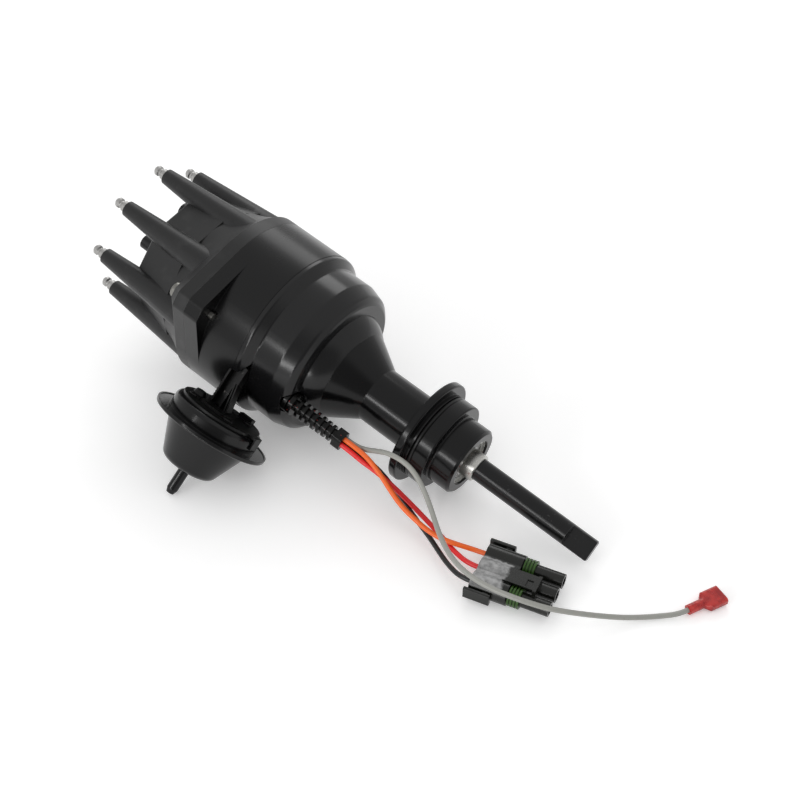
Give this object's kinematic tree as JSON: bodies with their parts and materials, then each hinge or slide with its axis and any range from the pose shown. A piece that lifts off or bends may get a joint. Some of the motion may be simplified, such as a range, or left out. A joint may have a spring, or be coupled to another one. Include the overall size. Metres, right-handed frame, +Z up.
{
  "type": "ignition distributor",
  "caption": "Engine ignition distributor with a towered cap, vacuum canister, mechanical advance, drive shaft with tang and a wire lead with plug.",
  "frame": {"origin": "on the shaft's axis, in the seating face of the hold-down flange", "axes": "+Z up from the table that the part lies on; the shaft axis lies in the XZ plane, and its tang end points to +X and 11.7 degrees down"},
  "size_m": [0.395, 0.1584, 0.1157],
  "materials": {
    "housing_black": "polished black anodised casting",
    "cap_black": "moulded black plastic",
    "terminal_silver": "bright machined terminals",
    "carbon": "carbon",
    "spring_steel": "spring steel",
    "screw_zinc": "zinc plated",
    "rotor_plastic": "moulded plastic",
    "contact_brass": "brass",
    "shaft_black": "black finished steel",
    "bright_steel": "ground steel",
    "seal_rubber": "black rubber",
    "bushing_bronze": "sintered bronze",
    "advance_steel": "plated sheet steel",
    "module_plastic": "potted electronics",
    "magnet_dark": "sintered magnet",
    "canister_gloss": "gloss black paint",
    "arm_dark": "rough black finish",
    "relief_black": "moulded rubber",
    "connector_black": "moulded black nylon",
    "seal_green": "green silicone",
    "spade_red": "translucent red vinyl",
    "wire_orange": "orange insulation",
    "wire_red": "red insulation",
    "wire_black": "black insulation",
    "wire_grey": "grey insulation"
  },
  "bodies": {
    "housing": {"arm_rivets": "screw_zinc", "bearing_clip": "bright_steel", "bowl_housing": "housing_black", "brush_spring": "spring_steel", "canister_arm": "arm_dark", "canister_cover": "canister_gloss", "canister_cup": "canister_gloss", "cap_screws": "screw_zinc", "carbon_brush": "carbon", "coil_terminal": "terminal_silver", "connector_latches": "connector_black", "connector_seals": "seal_green", "connector_shell": "connector_black", "connector_terminals": "contact_brass", "distributor_cap": "cap_black", "ignition_module": "module_plastic", "lower_bearing_balls": "bright_steel", "lower_bearing_outer": "bright_steel", "lower_bearing_shield": "bright_steel", "module_screws": "screw_zinc", "neck_housing": "housing_black", "pilot_o_ring": "seal_rubber", "plate_clip": "bright_steel", "plug_terminals": "terminal_silver", "spade_sleeve": "spade_red", "spade_terminal": "contact_brass", "strain_relief": "relief_black", "upper_bushing": "bushing_bronze", "upper_housing": "housing_black", "vacuum_nipple": "canister_gloss", "wire_black": "wire_black", "wire_grey": "wire_grey", "wire_orange": "wire_orange", "wire_red": "wire_red"},
    "shaft": {"shaft": "shaft_black", "shaft_cam": "shaft_black", "collar": "bright_steel", "collar_pin": "bright_steel", "lower_bearing_inner": "bright_steel"},
    "advance": {"advance_plate": "advance_steel", "reluctor": "advance_steel", "advance_springs": "spring_steel", "rotor": "rotor_plastic", "rotor_contact": "contact_brass", "rotor_screws": "screw_zinc"},
    "weight_a": {"weight_a": "advance_steel"},
    "weight_b": {"weight_b": "advance_steel"},
    "pickup": {"pickup_plate": "bright_steel", "pickup_coil": "module_plastic", "pickup_magnet": "magnet_dark"},
    "vacuum": {"vacuum_rod": "bright_steel", "diaphragm": "seal_rubber", "return_spring": "spring_steel"}
  },
  "joints": [
    {"name": "shaft_spin", "type": "hinge", "parent": "housing", "child": "shaft", "pos_m": [0, 0, 0], "axis": [0.9792, 0, -0.2028], "continuous": true},
    {"name": "advance_turn", "type": "hinge", "parent": "shaft", "child": "advance", "pos_m": [0, 0, 0], "axis": [0.9792, 0, -0.2028], "range_deg": [0, 14], "stiffness_Nm_per_rad": 0.5, "springref_deg": -17.19},
    {"name": "weight_a_swing", "type": "hinge", "parent": "advance", "child": "weight_a", "pos_m": [-0.11605, -0.01699, 0.00671], "axis": [-0.9792, 0, 0.2028], "range_deg": [0, 17]},
    {"name": "weight_b_swing", "type": "hinge", "parent": "advance", "child": "weight_b", "pos_m": [-0.10917, 0.01699, 0.03992], "axis": [-0.9792, 0, 0.2028], "range_deg": [0, 17]},
    {"name": "pickup_turn", "type": "hinge", "parent": "housing", "child": "pickup", "pos_m": [0, 0, 0], "axis": [0.9792, 0, -0.2028], "range_deg": [0, 7.5], "stiffness_Nm_per_rad": 1, "springref_deg": -11.46},
    {"name": "vacuum_pull", "type": "slide", "parent": "housing", "child": "vacuum", "axis": [-0.1432, -0.7077, -0.6918], "range_m": [0, 0.005]}
  ],
  "couplings": [
    {"joint": "weight_a_swing", "follows": "advance_turn", "ratio": 1.214},
    {"joint": "weight_b_swing", "follows": "advance_turn", "ratio": 1.214},
    {"joint": "vacuum_pull", "follows": "pickup_turn", "m_per_rad": 0.038}
  ]
}
